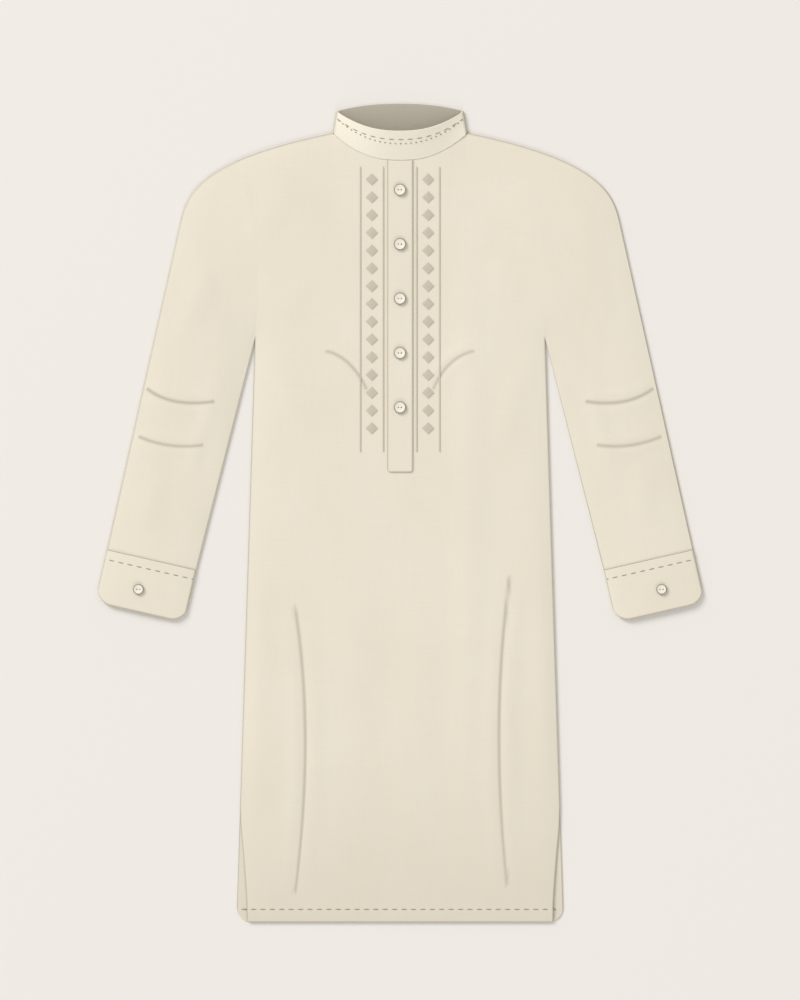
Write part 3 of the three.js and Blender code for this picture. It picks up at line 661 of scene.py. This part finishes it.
sleeve("sleeve_left", 1)
sleeve("sleeve_right", -1)

# ------------------------------------------------------------------ cuffs
# A doubled band of the same cotton, as wide as the sleeve's end, with rounded lower
# corners, a row of topstitching below its seam and one button.
CUFF = {"wall": 0.0018, "corner": 0.0213, "edge": 0.0007, "layers apart": 0.3}


def cuff_place(q, down):
    """Flat point at q across the cuff and `down` below its seam."""
    base = SLEEVE_END["outer"]
    return base[0] + across[0] * q + along[0] * down, base[1] + across[1] * q + along[1] * down


def cuff_face(q):
    from_edge = np.minimum(q, cuff_width - q)
    air = LOFT["height"] * (1 - np.exp(-from_edge / LOFT["reach"]))
    return 2 * CUFF["wall"] + FOLD_GAP + air


def cuff(name, side):
    spans = {"under": 16, "fold": 8, "over": 60}
    q, z, layer = tube_section(cuff_width, CUFF["wall"], spans, True)
    from_edge = np.minimum(q, cuff_width - q)
    inset = CUFF["corner"] - np.clip(from_edge, 0, CUFF["corner"])
    depth = CUFF_DEPTH - CUFF["corner"] + np.sqrt(CUFF["corner"] ** 2 - inset ** 2)
    z = np.where(layer == 1, cuff_face(q), z)
    rows, cloth_points, painted_shade = [], [], []
    for share in (*np.linspace(0, 0.96, 37), 0.977, 0.991, 1):
        down = SEAM + (depth - SEAM) * share
        x, y = cuff_place(q, down)
        rows.append(np.stack((side * x, y + HEM_Y, z), -1))
        cloth_points.append(on_bolt("cuff", q + CUFF["layers apart"] * layer + side, -down))
        painted_shade.append(edge_painted_shade(np.minimum(from_edge, depth - down)))
    points, cloth_uv = np.array(rows), np.array(cloth_points)
    piece = cloth_sheet(f"{name}_band", points, cloth_uv, CUFF["wall"], cream_faces,
                        closed=True, edge=CUFF["edge"], flip=side < 0, painted_shade_mask=np.array(painted_shade))
    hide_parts(name)


cuff("cuff_left", 1)
cuff("cuff_right", -1)

# ------------------------------------------------------------------ collar
# A doubled, stiffened band sewn round the neck, 38 mm deep at the centre. Its back lies
# down and its front stands open, so that the inside of the back shows in its mouth.
COLLAR = {"wall": 0.002, "top half": 0.0846, "corner": 0.0289, "front drop": 0.0269,
          "back rise": 0.0101, "seam stand": 0.0022, "top stand": 0.0165, "deep": 0.042,
          "cut": 0.04, "shade reach": 0.0018, "layers apart": 0.4}


def collar_front(x_share, up):
    """Outer face of the collar's front at a share of its half-width and a share of its height."""
    x_share, up = np.broadcast_arrays(np.asarray(x_share, float), np.asarray(up, float))
    half = NECK_HALF + (COLLAR["top half"] - NECK_HALF) * up
    arc = neck_arc(x_share, 1)
    drop = FRONT_NECK_DROP + (COLLAR["front drop"] - FRONT_NECK_DROP) * up
    stand = COLLAR["seam stand"] + (COLLAR["top stand"] - COLLAR["seam stand"]) * up
    y = LENGTH + COLLAR["corner"] * up - drop * arc
    return x_share * half, y, 2 * COLLAR["wall"] + FOLD_GAP + stand * arc


def collar():
    spans = {"under": 40, "fold": 10, "over": 72}
    rows, cloth_points, painted_shade = [], [], []
    for up in (*np.linspace(0, 0.95, 27), 0.975, 0.99, 1):
        half = NECK_HALF + (COLLAR["top half"] - NECK_HALF) * up
        q, z, layer = tube_section(2 * half, COLLAR["wall"], spans, True)
        x = q - half
        corner_y = LENGTH + COLLAR["corner"] * up
        rise = -BACK_NECK_DROP + (COLLAR["back rise"] + BACK_NECK_DROP) * up
        y = np.where(layer == 0, corner_y + rise * neck_arc(x, half), corner_y)
        _, front_y, front_z = collar_front(x / half, up)
        y = np.where(layer == 1, front_y, y)
        z = np.where(layer == 1, front_z, z)
        rows.append(np.stack((x, y + HEM_Y, z), -1))
        cloth_points.append(on_bolt("collar", x + COLLAR["layers apart"] * layer,
                                    0 * x + up * COLLAR["cut"]))
        # Painted shade along the collar's ends and along the top edge of its back.
        from_top = np.where(layer == 0, (1 - up) * COLLAR["deep"], half)
        painted_shade.append(edge_painted_shade(np.minimum(half - np.abs(x), from_top), COLLAR["shade reach"]))
    points, cloth_uv = np.array(rows), np.array(cloth_points)
    return cloth_sheet("collar_band", points, cloth_uv, COLLAR["wall"],
                       (collar_cotton_painted_light, collar_inside_painted_shade, collar_cotton_painted_light), closed=True,
                       painted_shade_mask=np.array(painted_shade), sewn_edges=(neck_line,))


# The collar's outside: cotton painted lighter than the rest of the cloth, painted light.
collar_cotton_painted_light = cotton("collar cotton painted lighter", srgb(250, 243, 225), srgb(243, 235, 217))
# The inside of the collar, which shows in its mouth: cotton painted darker, painted shade.
collar_inside_painted_shade = cotton("cotton inside the collar with painted shade", srgb(190, 183, 168), srgb(178, 171, 156))
collar_band = collar()
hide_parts("collar")

# ------------------------------------------------------------------ placket
# A folded strip of the same cotton sewn down the centre front over the opening, square at
# the neck seam and with slightly rounded corners at its lower end.
PLACKET = {"half": 0.0169, "bottom": 0.5987, "corner": 0.004, "wall": 0.0012}


def placket_face(x, y):
    return upper_face(x, y) + SEAM + PLACKET["wall"]


placket_u = np.concatenate(((-1, -0.965, -0.93, -0.88), np.linspace(-0.8, 0.8, 13),
                            (0.88, 0.93, 0.965, 1)))
placket_top = LENGTH - FRONT_NECK_DROP - SEAM
placket_rise = np.concatenate((
    (0, 0.0003, 0.001, 0.002, 0.003),
    np.linspace(PLACKET["corner"], placket_top - PLACKET["bottom"], 180)))
placket_u, placket_rise = np.meshgrid(placket_u, placket_rise)
low = np.clip(PLACKET["corner"] - placket_rise, 0, PLACKET["corner"])
placket_half = PLACKET["half"] - PLACKET["corner"] + np.sqrt(PLACKET["corner"] ** 2 - low ** 2)
placket_x = placket_u * placket_half
placket_share = placket_rise / placket_rise.max()
placket_y = PLACKET["bottom"] + placket_share * (front_neck_y(placket_x) - SEAM - PLACKET["bottom"])
placket_z = placket_face(placket_x, placket_y)
placket_painted_shade = edge_painted_shade(np.minimum(placket_half - np.abs(placket_x), placket_rise))
placket = cloth_sheet("placket_strip", np.stack((placket_x, placket_y + HEM_Y, placket_z), -1),
                      on_bolt("placket", placket_x, placket_y), PLACKET["wall"], cream_faces,
                      painted_shade_mask=placket_painted_shade)
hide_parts("placket")

# ------------------------------------------------------------------ cords
# Four lines of twisted cotton cord, couched on the front on both sides of the placket,
# one inside and one outside each column of embroidery.
CORD_LINES = {"xs": (0.0222, 0.0527), "top": 1.0048, "bottom": 0.6258, "half": 0.0009,
              "high": 0.0009, "twist": 0.0026, "slant": 0.6, "strands": 0.14, "rim": 0.15,
              "round": 0.96}
THREAD_WALL = 0.0003


def object_noise(tree, scale, detail=2.0):
    """Noise that lies still in the piece: scale is cycles per metre."""
    coordinates = tree.nodes.new("ShaderNodeTexCoord")
    noise = tree.nodes.new("ShaderNodeTexNoise")
    noise.inputs["Scale"].default_value = scale
    noise.inputs["Detail"].default_value = detail
    tree.links.new(coordinates.outputs["Object"], noise.inputs["Vector"])
    return noise.outputs["Fac"]


def spun_thread(name, light, dark, scale=1500):
    """Low-sheen thread: fine twisted fibres as bump, with a lighter and a darker tone."""
    material, tree, shader = new_material(name, {"Roughness": 0.6, "Sheen Weight": 0.2})
    fibres = object_noise(tree, scale, 3)
    tree.links.new(two_tones(tree, fibres, dark, light), shader.inputs["Base Color"])
    add_bump(tree, shader, fibres, strength=0.4, distance=0.0002)
    return material


beige_thread = spun_thread("beige thread", srgb(214, 206, 188), srgb(198, 190, 171))

for side, side_name in ((1, "left"), (-1, "right")):
    for line_x, line_name in zip(CORD_LINES["xs"], ("inner", "outer")):
        u, rise = np.meshgrid(np.linspace(-1, 1, 7),
                              np.linspace(0, CORD_LINES["top"] - CORD_LINES["bottom"], 520))
        x = side * line_x + u * CORD_LINES["half"]
        y = CORD_LINES["bottom"] + rise
        turns = rise / CORD_LINES["twist"] + CORD_LINES["slant"] * u
        strands = 1 - CORD_LINES["strands"] * (1 - np.cos(2 * np.pi * turns))
        arc = np.sqrt(1 - (CORD_LINES["round"] * u) ** 2)
        round_top = CORD_LINES["rim"] + (1 - CORD_LINES["rim"]) * arc
        z = upper_face(side * line_x + 0 * x, y) + SEAM + CORD_LINES["high"] * round_top * strands
        cord = cloth_sheet(f"cord_{side_name}_{line_name}_twist", np.stack((x, y + HEM_Y, z), -1),
                           np.stack((x, y), -1), THREAD_WALL, (beige_thread,) * 3, edge=0)
        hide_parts(f"cord_{side_name}_{line_name}")

# ------------------------------------------------------------------ embroidered lozenges
# Two columns of fifteen lozenges in satin stitch, each a low pad of threads laid side by
# side across it, worked between the cords on both sides of the placket.
LOZENGE = {"x": 0.0375, "count": 15, "top": 0.9881, "pitch": 0.02365, "half": 0.008,
           "high": 0.0008, "rim": 0.18, "dome": 0.70, "round": 0.97, "tip": 0.03, "tip high": 0.55,
           "threads": 17, "thread high": 0.00016}

u, v = np.meshgrid(np.linspace(-1, 1, 11), np.linspace(-1, 1, LOZENGE["threads"] * 4 + 1))
reach = np.maximum(1 - np.abs(v), LOZENGE["tip"])
lozenge_x = u * reach * LOZENGE["half"]
lozenge_y = v * LOZENGE["half"]
thread_round = np.abs(np.sin(np.pi * LOZENGE["threads"] * (v + 1) / 2))
towards_tip = LOZENGE["tip high"] + (1 - LOZENGE["tip high"]) * reach
dome = np.sqrt(1 - (LOZENGE["round"] * u) ** 2) * (1 - v ** 4) * towards_tip
lozenge_z = (LOZENGE["high"] * (LOZENGE["rim"] + LOZENGE["dome"] * dome)
             + LOZENGE["thread high"] * thread_round * (1 - 0.5 * u ** 2))
satin_thread = spun_thread("satin-stitch thread", srgb(210, 201, 183), srgb(197, 188, 170), 1800)
for side, side_name in ((1, "left"), (-1, "right")):
    for number in range(LOZENGE["count"]):
        middle_y = LOZENGE["top"] - number * LOZENGE["pitch"]
        x = lozenge_x + side * LOZENGE["x"]
        y = lozenge_y + middle_y
        z = upper_face(x, y) + SEAM + lozenge_z
        lozenge = cloth_sheet(f"lozenge_{side_name}_{number + 1:02d}_stitched",
                              np.stack((x, y + HEM_Y, z), -1), np.stack((x, y), -1),
                              THREAD_WALL, (satin_thread,) * 3, edge=0)
        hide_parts(f"lozenge_{side_name}_{number + 1:02d}")

# ------------------------------------------------------------------ topstitching
# Short straight stitches of a darker beige thread: a row and a line of small dots along
# the top of the collar, a row below each cuff's seam and a row along the hem.
STITCH = {"long": 0.0080, "wide": 0.0016, "pitch": 0.01252}
DOT = {"long": 0.0026, "wide": 0.0021, "pitch": 0.0069}
FLATNESS = 0.32              # height of a stitch over its width
COLLAR_ROW = {"ends": (-0.978, 0.974), "up": 0.715}
DOT_ROW = {"ends": (-0.969, 0.983), "up": 0.575, "rise": 0.135, "curve": 1.9}
HEM_ROW = {"ends": (-0.2115, 0.2080), "up": 0.0168, "thick": 0.00045}
CUFF_ROW = {"from outer edge": 0.0055, "from inner edge": 0.0010, "down": 0.0126}
stitch_thread = spun_thread("topstitching thread", srgb(172, 163, 144), srgb(152, 143, 125))

deselect()
bpy.ops.mesh.primitive_uv_sphere_add(segments=8, ring_count=7, radius=1)
pattern_stitch = bpy.context.object
bpy.ops.object.shade_smooth()


def join(pieces):
    deselect()
    for piece in pieces:
        piece.select_set(True)
    bpy.context.view_layer.objects.active = pieces[0]
    bpy.ops.object.join()
    return bpy.context.object


def stitch_row(name, ends):
    """Joined stitches, one for each (start, end, width), each a thread rounded at both ends."""
    made = []
    for start, end, wide in ends:
        stitch = pattern_stitch.copy()
        stitch.data = pattern_stitch.data.copy()
        bpy.context.collection.objects.link(stitch)
        run = Vector(end) - Vector(start)
        turn = run.to_track_quat("X", "Z").to_matrix()
        middle = (Vector(start) + Vector(end)) / 2
        size = Vector((run.length / 2, wide / 2, wide * FLATNESS))
        for vertex in stitch.data.vertices:
            vertex.co = turn @ (vertex.co * size) + middle
        made.append(stitch)
    row = join(made)
    row.name = name
    row.data.name = name
    row.data.materials.clear()
    row.data.materials.append(stitch_thread)
    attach(row, "root")


def stitches_along(line, stitch, centred=True):
    """Even stitches along a line of points; a row that isn't centred may end in a shorter one."""
    line = np.asarray(line)
    steps = np.concatenate(([0], np.cumsum(np.linalg.norm(np.diff(line[:, :2], axis=0), axis=1))))
    shortest = stitch["long"] if centred else stitch["long"] / 3
    count = int((steps[-1] - shortest) / stitch["pitch"]) + 1
    first = (steps[-1] - (count - 1) * stitch["pitch"] - stitch["long"]) / 2 if centred else 0
    starts = first + stitch["pitch"] * np.arange(count)

    def at(s):
        return tuple(np.interp(s, steps, line[:, axis]) for axis in range(3))

    return [(at(start), at(min(start + stitch["long"], steps[-1])), stitch["wide"]) for start in starts]


x, y, z = collar_front(np.linspace(*COLLAR_ROW["ends"], 120), COLLAR_ROW["up"])
collar_row = stitches_along(np.stack((x, y + HEM_Y, z), -1), STITCH, centred=False)
share = np.linspace(*DOT_ROW["ends"], 120)
x, y, z = collar_front(share, DOT_ROW["up"] + DOT_ROW["rise"] * np.abs(share) ** DOT_ROW["curve"])
collar_row += stitches_along(np.stack((x, y + HEM_Y, z), -1), DOT)
stitch_row("collar_topstitching", collar_row)

hem_x = np.linspace(*HEM_ROW["ends"], 800)
hem_y = np.full_like(hem_x, HEM_ROW["up"])
on_front = np.abs(hem_x) < body_half(hem_y) - swing(hem_y)
hem_z = np.where(on_front, upper_face(hem_x, hem_y) + HEM_ROW["thick"], CLOTH)
hem_line = np.stack((hem_x, hem_y + HEM_Y, hem_z), -1)
stitch_row("hem_topstitching", stitches_along(hem_line, STITCH, centred=False))

for side, side_name in ((1, "left"), (-1, "right")):
    q = np.linspace(CUFF_ROW["from outer edge"], cuff_width - CUFF_ROW["from inner edge"], 40)
    x, y = cuff_place(q, CUFF_ROW["down"])
    line = np.stack((side * x, y + HEM_Y, cuff_face(q)), -1)
    stitch_row(f"cuff_{side_name}_topstitching", stitches_along(line, STITCH, centred=False))

bpy.data.objects.remove(pattern_stitch)

# ------------------------------------------------------------------ buttons
# Seven round two-hole buttons of cream shell, with a chamfered edge painted darker
# (painted shade) and a shallow dish, sewn on with thread from hole to hole. Five close
# the placket and one sits on each cuff.
BUTTON = {"placket radius": 0.0082, "cuff radius": 0.0072, "high": 0.0028, "edge": 0.0015,
          "chamfer": 0.0004, "rim": 0.0010, "slope": 0.0008, "dish": 0.0004, "hole": 0.0009,
          "spread": 0.002, "soft": 0.00025}
STRAND = {"from middle": 0.0002, "thick": 0.00024, "arch": 1.5, "sunk": 0.0001}


def button_shell(name, light, dark):
    """Polished shell, clouded between two tones."""
    material, tree, shader = new_material(name, {"Roughness": 0.42, "Coat Weight": 0.15})
    clouds = object_noise(tree, 260)
    tree.links.new(two_tones(tree, clouds, dark, light), shader.inputs["Base Color"])
    return material


shell_face = button_shell("cream button shell", srgb(250, 245, 232), srgb(242, 235, 219))
# Painted shade: the button's edge faces take a darker colour.
button_edge_painted_shade = button_shell("button shell edge with painted shade", srgb(166, 157, 139), srgb(150, 141, 123))


def model_button(radius):
    """A button with its underside at the origin, facing up, its holes side by side along x."""
    high = BUTTON["high"]
    side = high - BUTTON["chamfer"]
    deselect()
    bpy.ops.mesh.primitive_cylinder_add(vertices=56, radius=radius, depth=side,
                                        location=(0, 0, side / 2))
    button = bpy.context.object
    bpy.ops.object.mode_set(mode="EDIT")
    bpy.ops.mesh.select_all(action="DESELECT")
    bpy.ops.object.mode_set(mode="OBJECT")
    for face in button.data.polygons:
        face.select = face.normal.z > 0.9
    bpy.ops.object.mode_set(mode="EDIT")
    bpy.ops.mesh.inset(thickness=BUTTON["edge"])
    bpy.ops.transform.translate(value=(0, 0, BUTTON["chamfer"]))
    bpy.ops.mesh.inset(thickness=BUTTON["rim"])
    bpy.ops.mesh.inset(thickness=BUTTON["slope"])
    bpy.ops.transform.translate(value=(0, 0, -BUTTON["dish"]))
    bpy.ops.object.mode_set(mode="OBJECT")
    for x in (-BUTTON["spread"], BUTTON["spread"]):
        deselect()
        bpy.ops.mesh.primitive_cylinder_add(vertices=20, radius=BUTTON["hole"], depth=4 * high,
                                            location=(x, 0, high / 2))
        drill = bpy.context.object
        cut = button.modifiers.new("hole", "BOOLEAN")
        cut.operation = "DIFFERENCE"
        cut.object = drill
        apply_modifiers(button)
        bpy.data.objects.remove(drill)
    soft = button.modifiers.new("rounded", "BEVEL")
    soft.width = BUTTON["soft"]
    soft.segments = 3
    soft.angle_limit = math.radians(35)
    apply_modifiers(button)
    bpy.ops.object.transform_apply(location=True, rotation=True, scale=True)
    bpy.ops.object.shade_smooth_by_angle(angle=SMOOTH_ANGLE)
    button.data.materials.append(shell_face)
    button.data.materials.append(button_edge_painted_shade)
    for face in button.data.polygons:
        face.material_index = int(math.hypot(*face.center[:2]) > radius - BUTTON["edge"])
    return button


def model_button_thread():
    """Two strands from hole to hole across the middle of the button's face."""
    deselect()
    floor_of_dish = BUTTON["high"] - BUTTON["dish"] - STRAND["sunk"]
    made = []
    for y in (-STRAND["from middle"], STRAND["from middle"]):
        bpy.ops.mesh.primitive_uv_sphere_add(segments=12, ring_count=9, radius=1)
        strand = bpy.context.object
        for vertex in strand.data.vertices:
            across_x, across_y, up = vertex.co
            arch = 1 - STRAND["arch"] * across_x ** 2
            vertex.co = (across_x * BUTTON["spread"], y + across_y * STRAND["thick"],
                         floor_of_dish + STRAND["thick"] * (up + arch))
        made.append(strand)
    join(made)
    bpy.ops.object.shade_smooth()
    return bpy.context.object


def button_in_place(pattern, name, x, y, z):
    piece = pattern.copy()
    piece.data = pattern.data.copy()
    piece.name = name
    piece.data.name = name
    bpy.context.collection.objects.link(piece)
    for vertex in piece.data.vertices:
        vertex.co += Vector((x, y, z))
    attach(piece, "root")
    return piece


button_thread = model_button_thread()
button_thread.data.materials.append(
    spun_thread("button thread", srgb(240, 233, 217), srgb(228, 220, 203)))
seats = [(f"button_placket_{n + 1}", "placket radius") for n in range(5)]
seats += [("button_cuff_left", "cuff radius"), ("button_cuff_right", "cuff radius")]
patterns = {kind: model_button(BUTTON[kind]) for kind in ("placket radius", "cuff radius")}
for node, kind in seats:
    low_corner, high_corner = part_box(node)
    x, y = (low_corner[0] + high_corner[0]) / 2, (low_corner[1] + high_corner[1]) / 2
    button = button_in_place(patterns[kind], f"{node}_shell", x, y, low_corner[2])
    thread = button_in_place(button_thread, f"{node}_thread", x, y, low_corner[2])
    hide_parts(node)
for pattern in (*patterns.values(), button_thread):
    bpy.data.objects.remove(pattern)

# ------------------------------------------------------------------ floor and light
# A pale matt floor in a pale room, under a soft key light from the upper left and a weaker
# one from below the hem. The floor lies just under the cloth.
deselect()
bpy.ops.mesh.primitive_plane_add(size=12, location=(0, 0, -0.0002))
floor = bpy.context.object
floor.name = "floor"
floor_paint, _, _ = new_material("pale floor", {"Base Color": srgb(241, 237, 231), "Roughness": 0.9})
floor.data.materials.append(floor_paint)


def soft_light(place, size, energy, colour):
    """A large square light, turned to the kurta's middle."""
    bpy.ops.object.light_add(type="AREA", location=place)
    light = bpy.context.object
    light.data.size = size
    light.data.energy = energy
    light.data.color = colour
    light.rotation_euler = (-Vector(place)).to_track_quat("-Z", "Y").to_euler()


soft_light((-18.3, 17.7, 15.9), size=12.5, energy=5500, colour=(1.0, 0.985, 0.96))
soft_light((3.0, -24.0, 15.0), size=14.0, energy=1500, colour=(1.0, 1.0, 1.0))

world = bpy.data.worlds.new("pale room")
world.use_nodes = True
world.node_tree.nodes["Background"].inputs["Color"].default_value = (1.0, 1.0, 1.0, 1)
world.node_tree.nodes["Background"].inputs["Strength"].default_value = 0.58
bpy.context.scene.world = world
